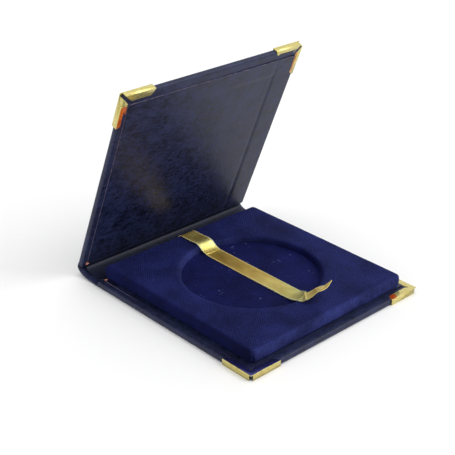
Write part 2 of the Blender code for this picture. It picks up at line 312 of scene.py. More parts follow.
def bump(tree, shader, height, depth, strength=1.0, before=None):
    """Adds a bump of this depth in millimetres; before is the normal of another bump."""
    inputs = {"Height": height, "Strength": strength, "Distance": depth * MM}
    if before is not None:
        inputs["Normal"] = before
    normal = node(tree, "ShaderNodeBump", inputs).outputs["Normal"]
    tree.links.new(normal, shader.inputs["Normal"])
    return normal


def vector_maths(tree, operation, first, second=None, scale=None):
    """A node of vector arithmetic, whose "Value" or "Vector" output the caller takes."""
    inputs = {0: first}
    if second is not None:
        inputs[1] = second
    if scale is not None:
        inputs["Scale"] = scale
    return node(tree, "ShaderNodeVectorMath", inputs, operation=operation)


# Two ways that the leatherette's fibres run, how far they are drawn out and how thick they are.
FIBRE_DIRECTIONS = ((0.88, -0.17, 0.44), (0.97, 0.09, -0.22))
FIBRE_STRETCH = 0.82
FIBRE_SIZE = 0.8


def fibres_along(tree, place, direction):
    """Fine noise drawn out along this unit direction."""
    share = vector_maths(tree, "DOT_PRODUCT", place, direction).outputs["Value"]
    stretch = maths(tree, "MULTIPLY", share, FIBRE_STRETCH)
    removed = vector_maths(tree, "SCALE", direction, scale=stretch).outputs["Vector"]
    drawn = vector_maths(tree, "SUBTRACT", place, removed).outputs["Vector"]
    texture = {
        "Vector": drawn,
        "Scale": 1.0 / (FIBRE_SIZE * MM),
        "Detail": 2.0,
        "Roughness": 0.6,
        "Distortion": 0.6,
    }
    return node(tree, "ShaderNodeTexNoise", texture).outputs["Fac"]


def leatherette(name, dark, light, gloss, roughness, grain):
    """Coated bookbinding cloth: fine, swirling wrinkles over broad mottling."""
    material, tree, shader = shader_of(name, IOR=1.5, Specular_IOR_Level=gloss)
    place = object_place(tree)
    mottle = noise_at(tree, place, 9.0, 4.0, 0.6)
    creases = {
        "Vector": place,
        "Scale": 1.0 / (2.3 * MM),
        "Detail": 5.0,
        "Roughness": 0.7,
        "Distortion": 1.2,
    }
    wrinkles = node(tree, "ShaderNodeTexNoise", creases).outputs["Fac"]
    first, second = (fibres_along(tree, place, direction) for direction in FIBRE_DIRECTIONS)
    fibres = maths(tree, "MULTIPLY", maths(tree, "ADD", first, second), 0.5)
    tone = weighted_sum(tree, (mottle, 0.22), (wrinkles, 0.18), (fibres, 0.6))
    tree.links.new(ramp(tree, tone, ((0.43, dark), (0.57, light))), shader.inputs["Base Color"])
    dullness = levels(tree, fibres, 0.35, 0.65, roughness - 0.08, roughness + 0.1)
    tree.links.new(dullness, shader.inputs["Roughness"])
    fine = bump(tree, shader, fibres, grain * 0.5)
    bump(tree, shader, wrinkles, grain, 1.0, fine)
    return material


def lining_edge(name, pale_from, pale_to):
    """The lining's cut edge: its pinkish core shows past pale_to along y, in millimetres, and it is
    dark before pale_from."""
    material, tree, shader = shader_of(name, Roughness=0.8)
    place = object_place(tree)
    wear = noise_at(tree, place, 2.2, 5.0, 0.7)
    stops = ((0.3, (0.05, 0.045, 0.1)), (0.5, (0.15, 0.12, 0.2)), (0.68, (0.42, 0.29, 0.37)))
    along = node(tree, "ShaderNodeSeparateXYZ", {"Vector": place}).outputs["Y"]
    pale = levels(tree, along, pale_from * MM, pale_to * MM, 0.0, 1.0)
    cut = mix_colours(tree, pale, (0.012, 0.015, 0.045), ramp(tree, wear, stops))
    tree.links.new(cut, shader.inputs["Base Color"])
    return material


def torn_core():
    """Frayed core of the covering sheet at its worn ends."""
    material, tree, shader = shader_of("torn_core", Roughness=0.9)
    wear = noise_at(tree, object_place(tree), 0.8, 3.0, 0.6)
    stops = ((0.35, (0.5, 0.13, 0.11)), (0.6, (0.68, 0.33, 0.22)))
    tree.links.new(ramp(tree, wear, stops), shader.inputs["Base Color"])
    return material


def velvet(name, base, knit_turn, linty):
    """Short royal blue pile on a knitted ground, with painted light and shade: a face turned towards the
    painted light's way is painted paler than one turned away from it. A little lint lies on top."""
    material, tree, shader = shader_of(
        name,
        Roughness=0.8,
        Sheen_Weight=0.16,
        Sheen_Roughness=0.35,
        Sheen_Tint=(0.16, 0.2, 0.9),
        Specular_IOR_Level=0.06,
    )
    place = object_place(tree)
    rotation = (0.0, 0.0, math.radians(knit_turn))
    turned = node(tree, "ShaderNodeMapping", {"Vector": place, "Rotation": rotation})
    knit = node(
        tree,
        "ShaderNodeTexWave",
        {
            "Vector": turned.outputs["Vector"],
            "Scale": 1.0 / (3.6 * MM),
            "Distortion": 0.9,
            "Detail": 1.0,
            "Detail Scale": 2.0,
        },
    ).outputs["Fac"]
    pile = noise_at(tree, place, 0.6, 3.0, 0.7)
    clouds = noise_at(tree, place, 15.0, 3.0, 0.5)
    normal = node(tree, "ShaderNodeTexCoord").outputs["Normal"]
    upwards = node(tree, "ShaderNodeSeparateXYZ", {"Vector": normal}).outputs["Z"]
    knit = maths(tree, "MULTIPLY", knit, levels(tree, upwards, 0.6, 0.95, 0.05, 1.0))
    tone = weighted_sum(tree, (pile, 0.5), (clouds, 0.4), (knit, 0.09))
    dark = tuple(channel * 0.42 for channel in base)
    light = tuple(channel * 1.85 for channel in base)
    cloth = ramp(tree, tone, ((0.38, dark), (0.64, light)))
    # Painted light and shade: paler or darker by which way the face turns in the room.
    surface = node(tree, "ShaderNodeNewGeometry").outputs["Normal"]
    facing = vector_maths(tree, "DOT_PRODUCT", surface, PAINTED_LIGHT_FROM).outputs["Value"]
    painted_light_by_facing = ramp(tree, levels(tree, facing, -1.0, 1.0, 0.0, 1.0), PAINTED_LIGHT_TONES)
    cloth = mix_colours(tree, 1.0, cloth, painted_light_by_facing, "MULTIPLY")
    cells = {"Vector": place, "Scale": 1.0 / (2.4 * MM)}
    specks = node(tree, "ShaderNodeTexVoronoi", cells).outputs["Distance"]
    patches = levels(tree, noise_at(tree, place, 9.0, 2.0), 0.62, 0.66, 0.0, linty)
    lint = maths(tree, "MULTIPLY", levels(tree, specks, 0.08, 0.3, 1.0, 0.0), patches)
    tree.links.new(mix_colours(tree, lint, cloth, (0.14, 0.17, 0.42)), shader.inputs["Base Color"])
    first = bump(tree, shader, pile, 0.3)
    bump(tree, shader, knit, 0.07, 1.0, first)
    return material


def satin():
    """Gold satin ribbon: ribs across its width, a paler woven edge, painted shade along the crease and
    painted light and shade along its length. Its UV map gives the distance past the crease in
    millimetres, and the place across from -0.5 to 0.5."""
    material, tree, shader = shader_of("satin", Roughness=0.3, Anisotropic=0.3)
    uv = node(tree, "ShaderNodeUVMap", uv_map="weave").outputs["UV"]
    split = node(tree, "ShaderNodeSeparateXYZ", {"Vector": uv})
    past_crease = split.outputs["X"]
    across = maths(tree, "ABSOLUTE", split.outputs["Y"])
    wave = {"Vector": uv, "Scale": 0.9, "Distortion": 0.6, "Detail": 2.0}
    ribs = node(tree, "ShaderNodeTexWave", wave, bands_direction="X").outputs["Fac"]
    wave = {"Vector": uv, "Scale": 1.6, "Distortion": 0.4}
    threads = node(tree, "ShaderNodeTexWave", wave, bands_direction="Y").outputs["Fac"]
    drawn = node(tree, "ShaderNodeMapping", {"Vector": uv, "Scale": (0.08, 1.5, 1.0)}).outputs["Vector"]
    streaks = node(tree, "ShaderNodeTexNoise", {"Vector": drawn, "Scale": 1.0, "Detail": 4.0}).outputs["Fac"]
    body = ramp(tree, streaks, ((0.35, (0.64, 0.43, 0.08)), (0.65, (0.86, 0.66, 0.18))))
    edge = levels(tree, across, 0.42, 0.445, 0.0, 1.0)
    picot = node(tree, "ShaderNodeTexWave", {"Vector": uv, "Scale": 0.75}, bands_direction="X").outputs["Fac"]
    edge_colour = ramp(tree, picot, ((0.25, (0.5, 0.33, 0.07)), (0.6, (0.92, 0.82, 0.38))))
    woven = mix_colours(tree, edge, body, edge_colour)
    # Painted highlight and shade along the ribbon's length.
    painted_light_along = ramp(tree, levels(tree, past_crease, *RIBBON_PAINTED_LIGHT_SPAN, 0.0, 1.0), RIBBON_PAINTED_LIGHT_TONES)
    woven = mix_colours(tree, 1.0, woven, painted_light_along, "MULTIPLY")
    # Painted shade along the tail's crease.
    crease = levels(tree, maths(tree, "ABSOLUTE", past_crease), 0.1, 0.4, 0.5, 0.0)
    dull = maths(tree, "MAXIMUM", edge, levels(tree, past_crease, -2.0, 1.0, 0.0, 0.85))
    tree.links.new(levels(tree, dull, 0.0, 1.0, 0.78, 0.25), shader.inputs["Metallic"])
    tree.links.new(mix_colours(tree, crease, woven, (0.52, 0.17, 0.02)), shader.inputs["Base Color"])
    first = bump(tree, shader, ribs, 0.03)
    bump(tree, shader, threads, 0.015, 1.0, first)
    return material


def brass(name, metallic, roughness, tint_patches=()):
    """Thin stamped brass. Each place in the last argument has a tint of its own, one of them a painted
    reflection: its centre and half sizes in millimetres, the way that it faces, its two tones and how
    metallic it is."""
    material, tree, shader = shader_of(name, Metallic=metallic, IOR=1.6)
    place = object_place(tree)
    tarnish = noise_at(tree, place, 2.6, 3.0, 0.6)
    brushing = noise_at(tree, place, 0.45, 2.0, 0.6, (0.2, 1.0, 1.0))
    dents = noise_at(tree, place, 5.0, 1.0, 0.4)
    worn = ((0.3, (0.52, 0.41, 0.11)), (0.42, (0.61, 0.52, 0.17)), (0.7, (0.68, 0.6, 0.24)))
    colour = ramp(tree, tarnish, worn)
    for spot, reach, facing, low, high, shine in tint_patches:
        scale = tuple(1.0 / (size * MM) for size in reach)
        scaled = vector_maths(tree, "MULTIPLY", place, scale).outputs["Vector"]
        centre = tuple(spot[axis] * MM * scale[axis] for axis in range(3))
        distance = vector_maths(tree, "DISTANCE", scaled, centre).outputs["Value"]
        near = levels(tree, distance, 0.94, 1.06, 1.0, 0.0)
        normal = node(tree, "ShaderNodeTexCoord").outputs["Normal"]
        aligned = vector_maths(tree, "DOT_PRODUCT", normal, tuple(facing)).outputs["Value"]
        mask = maths(tree, "MULTIPLY", near, levels(tree, aligned, 0.75, 0.95, 0.0, 1.0))
        colour = mix_colours(tree, mask, colour, ramp(tree, tarnish, ((0.35, low), (0.65, high))))
        tree.links.new(levels(tree, mask, 0.0, 1.0, metallic, shine), shader.inputs["Metallic"])
    tree.links.new(colour, shader.inputs["Base Color"])
    dullness = levels(tree, brushing, 0.3, 0.7, roughness - 0.02, roughness + 0.08)
    tree.links.new(dullness, shader.inputs["Roughness"])
    bump(tree, shader, dents, 0.03)
    return material


def greyboard():
    """Grey pressed board with a pulpy surface."""
    material, tree, shader = shader_of("greyboard", Roughness=0.92)
    place = object_place(tree)
    pulp = noise_at(tree, place, 1.1, 5.0, 0.7)
    grey = ramp(tree, pulp, ((0.3, (0.2, 0.18, 0.15)), (0.7, (0.34, 0.31, 0.27))))
    tree.links.new(grey, shader.inputs["Base Color"])
    bump(tree, shader, pulp, 0.08)
    return material


# Where along y, in millimetres, the lining's cut edge turns from dark to pale. Along the fold it
# is dark all along, as painted shade.
PALE_ALL_ALONG = (-90.0, -80.0)
PALE_TOWARDS_SPINE = (24.0, 46.0)
PAINTED_SHADE_ALL_ALONG = (200.0, 210.0)

MATERIALS = {
    "cover": leatherette(
        "leatherette", (0.006, 0.008, 0.025), (0.022, 0.028, 0.08), gloss=0.27, roughness=0.4, grain=0.06
    ),
    "lining": leatherette(
        "lining", (0.002, 0.0028, 0.0115), (0.018, 0.0245, 0.077), gloss=0.34, roughness=0.4, grain=0.08
    ),
    # A darker copy of the lining for the strip across the spine: painted shade of the deep fold.
    "fold_lining_painted_shade": leatherette(
        "fold_lining_painted_shade", (0.004, 0.0055, 0.015), (0.012, 0.015, 0.038), gloss=0.24, roughness=0.46, grain=0.05
    ),
    "cut_edge": lining_edge("lining_cut_edge", *PALE_ALL_ALONG),
    "base_cut_edge": lining_edge("base_lining_cut_edge", *PALE_TOWARDS_SPINE),
    # Painted shade: along the fold the cut edge is dark all along.
    "fold_cut_edge_painted_shade": lining_edge("fold_lining_cut_edge", *PAINTED_SHADE_ALL_ALONG),
    "torn": torn_core(),
    "velvet": velvet("velvet", (0.0085, 0.0115, 0.066), knit_turn=38.0, linty=0.1),
    # The well's floor velvet is a darker copy of the insert's velvet: painted shade in the well. Its lint is
    # its own.
    "floor_velvet": velvet("well_velvet_painted_shade", (0.0045, 0.006, 0.05), knit_turn=8.0, linty=0.55),
    "satin": satin(),
    "greyboard": greyboard(),
}


# The covered panels.


PANEL_SIDE_POINTS = 36
PANEL_CORNER_POINTS = 5
PANEL_SMALLEST_CORNER = 0.25
# From the middle of the outer face round the edge to the middle of the inner one, as (inset, height).
PANEL_PROFILE = (
    (57.0, 0.0), (40.0, 0.0), (25.0, 0.0), (14.0, 0.0), (8.0, 0.0), (4.0, 0.0),
    (2.2, 0.0), (1.1, 0.02), (0.5, 0.12), (0.16, 0.36), (0.0, 0.75), (-0.04, 1.3),
    (0.0, 1.9), (0.06, 2.35), (0.2, 2.68), (0.46, 2.92), (0.9, 3.05), (1.7, 3.1),
    (4.0, 3.1), (8.0, 3.1), (14.0, 3.1), (25.0, 3.1), (40.0, 3.1), (57.0, 3.1),
)


def rounded_ring(inset, z):
    """A panel's outline at this inset and height, with the same number of points at every inset."""
    corner = max(PANEL_CORNER - inset, PANEL_SMALLEST_CORNER)
    low_x, high_x = -HALF_WIDTH + inset, HALF_WIDTH - inset
    low_y, high_y = inset, PANEL_DEPTH - inset
    ring = []
    sides = (
        ((low_x, low_y), (high_x, low_y), -90.0),
        ((high_x, low_y), (high_x, high_y), 0.0),
        ((high_x, high_y), (low_x, high_y), 90.0),
        ((low_x, high_y), (low_x, low_y), 180.0),
    )
    for start, end, heading in sides:
        run = Vector(end) - Vector(start)
        unit = run.normalized()
        straight = run.length - 2 * corner
        for step in range(PANEL_SIDE_POINTS):
            place = Vector(start) + unit * (corner + straight * step / PANEL_SIDE_POINTS)
            ring.append((place.x, place.y, z))
        inwards = Vector((-unit.y, unit.x))
        centre = Vector(end) - unit * corner + inwards * corner
        for step in range(PANEL_CORNER_POINTS):
            turn = math.radians(heading + 90.0 * step / PANEL_CORNER_POINTS)
            ring.append((centre.x + corner * math.cos(turn), centre.y + corner * math.sin(turn), z))
    return ring


def panel_cover(name, place, seed):
    """The covering sheet round a board: flat faces, soft edges that wander a little."""
    loops = []
    for inset, z in PANEL_PROFILE:
        loop = []
        for x, y, height in rounded_ring(inset, z):
            wander = 0.09 * soft_noise((x, y, 0.0), 17.0, seed) + 0.03 * soft_noise((x, y, z), 4.0, seed)
            edge = smoothstep(4.0, 0.5, inset)
            x += math.copysign(wander * edge, x) if abs(x) > abs(y - PANEL_DEPTH / 2) else 0.0
            height += edge * 0.05 * soft_noise((x, y, z), 6.0, seed + 3)
            loop.append(place(x, y, max(height, 0.0)))
        loops.append(loop)
    return loft(name, loops, [MATERIALS["cover"]])


# The lining. It lies on the panels' inner faces and runs through both folds.


def lining_rise(x, y):
    """How far the turned-in sheet underneath lifts the lining at a place on a panel."""
    side = HALF_WIDTH - x
    front = PANEL_DEPTH - y
    side_step = smoothstep(TURN_IN + 2.2, TURN_IN - 0.8, side)
    front_step = smoothstep(TURN_IN + 2.2, TURN_IN - 1.2, front) * smoothstep(-25.0, 40.0, x)
    valley = 0.35 * math.exp(-(((side - TURN_IN - 1.7) / 1.1) ** 2))
    off_mitre = abs(front - side) / math.sqrt(2)
    fold = 0.5 * math.exp(-((off_mitre / 0.8) ** 2)) * smoothstep(TURN_IN + 3.0, TURN_IN - 7.0, side)
    return TURN_IN_STEP * (max(side_step, front_step) - valley + fold)


def lining_point(place, x, y, top):
    """A point on the upper or the under side of a panel's lining, which waves a little."""
    z = PANEL_THICKNESS + LINING_GAP
    broad = 0.07 * soft_noise((x, y, 0.0), 30.0, 7.0)
    fine = 0.02 * soft_noise((x, y, 0.0), 7.0, 2.0)
    z += lining_rise(x, y) + broad + fine
    z += LINING_THICKNESS if top else 0.0
    return place(x, y, z)


# Places across the lining, closer together over the fold that the turned-in sheet makes. A loop of
# the lining runs over these on its upper side and back on its under side, so its two cut edges are
# the segments that join the sides.
LINING_COLUMNS = sorted(set(span(-LINING_REACH, LINING_REACH, 84)) | set(span(41.0, 56.0, 26)))
LINING_EDGES = (len(LINING_COLUMNS) - 1, 2 * len(LINING_COLUMNS) - 1)


def ragged(x, y):
    """The hand-cut side edge wanders by a fraction of a millimetre."""
    if abs(x) < LINING_REACH - 0.5:
        return x
    return x + 0.12 * soft_noise((x, y, 0.0), 9.0, 5.0)


TUFT_POINTS = 14


def fray(name, place, x, y):
    """A small three-lobed tuft of torn core that stands out at the corner of a lining."""
    outline = []
    for step in range(TUFT_POINTS):
        turn = 2 * math.pi * step / TUFT_POINTS
        reach = 0.78 + 0.36 * math.cos(3 * turn) + 0.2 * soft_noise((step, 0.0, 0.0), 0.37, 2.0)
        outline.append((x + reach * math.cos(turn), y + 0.8 * reach * math.sin(turn)))
    lining_top = PANEL_THICKNESS + LINING_THICKNESS + TURN_IN_STEP
    heights = (PANEL_THICKNESS + 0.1, lining_top + 0.12)
    loops = [[place(px, py, height) for px, py in outline] for height in heights]
    return loft(name, loops, [MATERIALS["torn"]])


def panel_lining(name, place, start, edge):
    """The lining on a panel, from its start near the hinge, with more rows where it steps down."""
    step_at = PANEL_DEPTH - TURN_IN
    everywhere = span(start, PANEL_DEPTH - LINING_FRONT_INSET, 70)
    loops = []
    for y in sorted(set(everywhere) | set(span(step_at - 3.0, step_at + 2.5, 14))):
        upper, under = (
            [lining_point(place, ragged(x, y), y, top) for x in LINING_COLUMNS] for top in (True, False)
        )
        loops.append(upper + under[::-1])
    return loft(name, loops, [MATERIALS["lining"], MATERIALS[edge]], edge_segments=LINING_EDGES)


# The spine strip. Its curves are (y, z) points at rest, from inside the base to inside the lid.


def lid_spot(y, z):
    """A (y, z) place at this distance along the lid and this height above its outer face."""
    place = on_lid(0.0, y, z)
    return (place.y, place.z)


# The strip's outer and inner side, and the upper side of the lining where it bends across the strip.
STRIP_OUTER = (
    (57.0, 0.04), (60.0, 0.04), (64.0, 0.16), (68.0, 0.6), (71.2, 1.4), (73.8, 2.7),
    (75.1, 4.0), (75.35, 5.2), (74.75, 6.5), lid_spot(1.6, 0.05),
)
STRIP_INNER = (
    (57.0, 0.55), (60.0, 0.95), (64.0, 1.35), (68.0, 2.0), (71.3, 2.95), (73.0, 4.05),
    (73.7, 5.0), (73.76, 6.1), lid_spot(0.8, 0.6), lid_spot(1.6, 0.5),
)
LINING_PATH = (
    (56.0, 3.45), (57.3, 3.45), (58.3, 3.15), (58.95, 2.45), (60.2, 1.9), (63.0, 1.95), (66.3, 2.5),
    (68.9, 3.35), (70.5, 4.2), (71.25, 5.0), (71.3, 5.6), lid_spot(1.2, 3.47), lid_spot(2.2, 3.47),
)
# The strip is made in two pieces that meet at this height.
SEAM_HEIGHT = 3.85
WAVE_SIZE = 12.0
STRIP_ROUND_END = 0.45
STRIP_COLUMNS = 41


def split_at_seam(curve):
    """The curve's points before and after it passes the seam between the two bending pieces."""
    seam = next(i for i in range(len(curve) - 1, 0, -1) if curve[i][1] < SEAM_HEIGHT)
    return curve[: seam + 1], curve[seam:]


def strip_loop(outer, inner):
    """One closed loop of the strip: under side, rounded end, upper side, rounded end."""
    columns = span(-HALF_WIDTH + STRIP_ROUND_END, HALF_WIDTH - STRIP_ROUND_END, STRIP_COLUMNS)
    middle = (Vector(outer) + Vector(inner)) / 2
    loop = [(x, outer[0], outer[1]) for x in columns]
    loop.append((HALF_WIDTH, middle.x, middle.y))
    loop += [(x, inner[0], inner[1]) for x in reversed(columns)]
    loop.append((-HALF_WIDTH, middle.x, middle.y))
    return loop


def waved(loop, seed, depth):
    """The loop with gentle waves of this depth towards the spine and up."""
    moved = []
    for x, y, z in loop:
        back = depth * soft_noise((x, y, z), WAVE_SIZE, seed)
        up = depth * soft_noise((x, y, z), WAVE_SIZE, seed + 9)
        moved.append((x, y + back, z + up))
    return moved


def resampled(curve, count):
    """The same curve as this many points at equal distances."""
    lengths = [0.0]
    for before, after in zip(curve, curve[1:]):
        lengths.append(lengths[-1] + (after - before).length)
    spots = []
    segment = 0
    for distance in span(0.0, lengths[-1], count):
        while segment < len(curve) - 2 and lengths[segment + 1] < distance:
            segment += 1
        share = (distance - lengths[segment]) / (lengths[segment + 1] - lengths[segment])
        spots.append(curve[segment].lerp(curve[segment + 1], min(share, 1.0)))
    return spots


def bend_both(pieces):
    """Bakes the transforms of both pieces, the one below the seam and the one above it, into their meshes."""
    first, second = pieces
    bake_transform(first)
    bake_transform(second)


def build_spine_cover():
    outers = split_at_seam(through(STRIP_OUTER))
    inners = split_at_seam(through(STRIP_INNER))
    names = ("spine_cover_fold", "spine_cover_hinge")
    pieces = []
    for name, outer, inner, count in zip(names, outers, inners, (40, 20)):
        stations = zip(resampled(outer, count), resampled(inner, count))
        loops = [waved(strip_loop(o, i), 4.0, 0.06) for o, i in stations]
        pieces.append(loft(name, loops, [MATERIALS["cover"]]))
    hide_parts("spine_cover")
    bend_both(pieces)
    return pieces


def build_spine_lining():
    materials = [MATERIALS["fold_lining_painted_shade"], MATERIALS["fold_cut_edge_painted_shade"]]
    names = ("spine_lining_fold", "spine_lining_hinge")
    curves = split_at_seam(through(LINING_PATH))
    pieces = []
    for name, curve, count in zip(names, curves, (44, 18)):
        path = resampled(curve, count)
        loops = []
        for index, spot in enumerate(path):
            along = (path[min(index + 1, count - 1)] - path[max(index - 1, 0)]).normalized()
            below = spot + Vector((along.y, -along.x)) * LINING_THICKNESS
            upper, under = (
                [(ragged(x, side.x), side.x, side.y) for x in LINING_COLUMNS] for side in (spot, below)
            )
            loops.append(waved(upper + under[::-1], 6.0, 0.07))
        pieces.append(loft(name, loops, materials, edge_segments=LINING_EDGES))
    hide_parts("spine_lining")
    bend_both(pieces)
    return pieces


# The card's half width, its stretch of the fold's stations and its place in the strip's thickness.
CARD_HALF_WIDTH = 58.5
FOLD_STATIONS = 60
CARD_STATIONS = slice(16, 46)
CARD_LOW = 0.35
CARD_HIGH = 0.7


def build_spine_card():
    """The card inside the strip, curved as the strip is."""
    below_seam = (split_at_seam(through(side))[0] for side in (STRIP_OUTER, STRIP_INNER))
    outer, inner = (resampled(curve, FOLD_STATIONS)[CARD_STATIONS] for curve in below_seam)
    loops = []
    for o, i in zip(outer, inner):
        low, high = o.lerp(i, CARD_LOW), o.lerp(i, CARD_HIGH)
        left, right = -CARD_HALF_WIDTH, CARD_HALF_WIDTH
        loops.append([(left, *low), (right, *low), (right, *high), (left, *high)])
    card = loft("spine_card_bent", loops, [MATERIALS["greyboard"]])
    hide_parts("spine_card")
    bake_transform(card)
    return card


# The velvet insert. Its skin is a stack of rings round the well's centre.


INSERT_CORNER = 2.0
INSERT_SMALLEST_CORNER = 0.4
NEARLY_ZERO = 1e-9
CORNER_ANGLES = [
    math.atan2(y - WELL_CENTRE.y, x - WELL_CENTRE.x)
    for x in (INSERT_LOW.x, INSERT_HIGH.x)
    for y in (INSERT_LOW.y, INSERT_HIGH.y)
]
BACK_LEFT_CORNER = math.atan2(INSERT_HIGH.y - WELL_CENTRE.y, INSERT_LOW.x - WELL_CENTRE.x)


def insert_angles():
    """Angles round the well: one to a degree, with more where the insert's corners are."""
    angles = set(span(0.0, 2 * math.pi * 359 / 360, 360))
    for corner in CORNER_ANGLES:
        middle = corner % (2 * math.pi)
        angles |= {middle + math.radians(offset) for offset in span(-3.9, 3.9, 27)}
    return sorted(angles)


def degrees_off(angle, corner):
    """How far the angle lies past a corner's, from -180 to 180 degrees."""
    return math.degrees((angle - corner + math.pi) % (2 * math.pi) - math.pi)


def distance_to_side(angle, inset):
    """From the well's centre to the insert's rounded outline, drawn in by inset."""
    radius = max(INSERT_CORNER - inset, INSERT_SMALLEST_CORNER)
    dx, dy = math.cos(angle), math.sin(angle)
    edge_x = (INSERT_HIGH.x - inset if dx >= 0 else INSERT_LOW.x + inset) - WELL_CENTRE.x
    edge_y = (INSERT_HIGH.y - inset if dy >= 0 else INSERT_LOW.y + inset) - WELL_CENTRE.y
    reach_x = edge_x / dx if abs(dx) > NEARLY_ZERO else math.inf
    reach_y = edge_y / dy if abs(dy) > NEARLY_ZERO else math.inf
    reach = min(reach_x, reach_y)
    centre_x = edge_x - math.copysign(radius, dx)
    centre_y = edge_y - math.copysign(radius, dy)
    hit_x, hit_y = dx * reach, dy * reach
    past_x = (hit_x - centre_x) * math.copysign(1, dx)
    past_y = (hit_y - centre_y) * math.copysign(1, dy)
    if past_x > 0 and past_y > 0:
        along = centre_x * dx + centre_y * dy
        return along + math.sqrt(max(along**2 - centre_x**2 - centre_y**2 + radius**2, 0.0))
    return reach


# The velvet from the well's wall over the rim, as (distance out from the wall, height), then how
# far across the top it goes, and then over and down its sides, as (inset, height).
WELL_WALL = (
    (0.0, 6.7), (0.05, 7.5), (0.16, 8.1), (0.36, 8.8), (0.64, 9.5),
    (0.98, 10.05), (1.42, 10.5), (2.0, 10.83), (RIM_WIDTH, 11.0),
)
TOP_SHARES = (0.08, 0.2, 0.35, 0.5, 0.65, 0.8, 0.92)
EDGE_ROLL = (
    (1.6, 11.02), (0.95, 10.97), (0.4, 10.82), (-0.08, 10.5), (-0.42, 10.02),
    (-0.64, 9.3), (-0.74, 8.4), (-0.74, 7.4), (-0.68, 6.3), (-0.56, 5.3),
    (-0.38, 4.5), (-0.1, 3.95), (0.35, 3.62), (1.2, 3.5),
)
CORNER_TUCK = 0.55
CORNER_BULGE = 1.2


def corner_tuck(angle, z):
    """Depth of the gathered fold at the insert's upright corners, deepest low down."""
    depth = 0.0
    for corner in CORNER_ANGLES:
        off = degrees_off(angle, corner) - 0.25
        depth += CORNER_TUCK * math.exp(-((off / 0.32) ** 2)) * smoothstep(9.6, 6.0, z)
    return depth


def corner_fullness(angle, z):
    """The velvet is loose round the insert's back left corner and bulges there."""
    off = degrees_off(angle, BACK_LEFT_CORNER)
    return CORNER_BULGE * math.exp(-((off / 6.0) ** 2)) * smoothstep(11.0, 9.0, z)


def insert_ring(angles, radii, z, softness):
    """Points at these angles and radii round the well's centre, uneven where the velvet is soft."""
    ring = []
    for angle, radius in zip(angles, radii):
        x = WELL_CENTRE.x + radius * math.cos(angle)
        y = WELL_CENTRE.y + radius * math.sin(angle)
        swell = 0.12 * soft_noise((x, y, z), 22.0, 1.0) + 0.05 * soft_noise((x, y, z), 6.0, 8.0)
        out = 0.12 * soft_noise((x, y, z * 2), 14.0, 3.0) + 0.07 * soft_noise((x, y, z), 1.7, 6.0)
        out *= softness
        ring.append((x + out * math.cos(angle), y + out * math.sin(angle), z + softness * swell))
    return ring


def build_insert():
    angles = insert_angles()
    rings = []
    for out, z in WELL_WALL:
        radii = [WELL_RADIUS + out] * len(angles)
        rings.append(insert_ring(angles, radii, z, smoothstep(7.0, 9.5, z)))
    top_edge = [distance_to_side(angle, EDGE_ROLL[0][0]) for angle in angles]
    for share in TOP_SHARES:
        radii = [RIM_RADIUS * (1 - share) + edge * share for edge in top_edge]
        crowned = INSERT_HIGH.z + 0.06 * math.sin(math.pi * share)
        rings.append(insert_ring(angles, radii, crowned, 1.0))
    for inset, z in EDGE_ROLL:
        radii = [
            distance_to_side(angle, inset) - corner_tuck(angle, z) + corner_fullness(angle, z)
            for angle in angles
        ]
        rings.append(insert_ring(angles, radii, z, 0.8))
    # Underneath, the skin runs back in to the well's wall.
    under = EDGE_ROLL[-1][1]
    rings.append(insert_ring(angles, [WELL_RADIUS + 2.0] * len(angles), under, 0.0))
    rings.append(insert_ring(angles, [WELL_RADIUS] * len(angles), under + 0.2, 0.0))
    skin = loft("velvet_wrap", rings, [MATERIALS["velvet"]], ring=True, sharp=60.0)
    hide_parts("velvet_cover")
    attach(skin, "base")


FLOOR_RINGS = (0.06, 0.2, 0.35, 0.5, 0.65, 0.78, 0.88, 0.95, 0.99, 1.0)
FLOOR_OVERLAP = 0.15


def build_well_floor():
    """The velvet disc on the well's floor, turned up a little at its rim."""
    angles = span(0.0, 2 * math.pi * 179 / 180, 180)
    rings = []
    for share in FLOOR_RINGS:
        ring = []
        for angle in angles:
            radius = (WELL_RADIUS + FLOOR_OVERLAP) * share
            x = WELL_CENTRE.x + radius * math.cos(angle)
            y = WELL_CENTRE.y + radius * math.sin(angle)
            lift = 0.25 * smoothstep(0.93, 1.0, share) + 0.07 * soft_noise((x, y, 0.0), 18.0, 4.0)
            ring.append((x, y, FLOOR_HIGH.z + lift))
        rings.append(ring)
    low = [(x, y, FLOOR_LOW.z) for x, y, _ in rings[-1]]
    low_inner = [(x, y, FLOOR_LOW.z) for x, y, _ in rings[0]]
    rings += [low, low_inner]
    floor = loft("well_floor_pile", rings, [MATERIALS["floor_velvet"]], sharp=60.0)
    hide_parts("well_floor_velvet")
    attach(floor, "base")


# The ribbon.


RIBBON_HALF = 5.0
RIBBON_THICK = 0.22
RIBBON_SHARES = span(0.0, 1.0, 13)
RIBBON_STEPS = 6
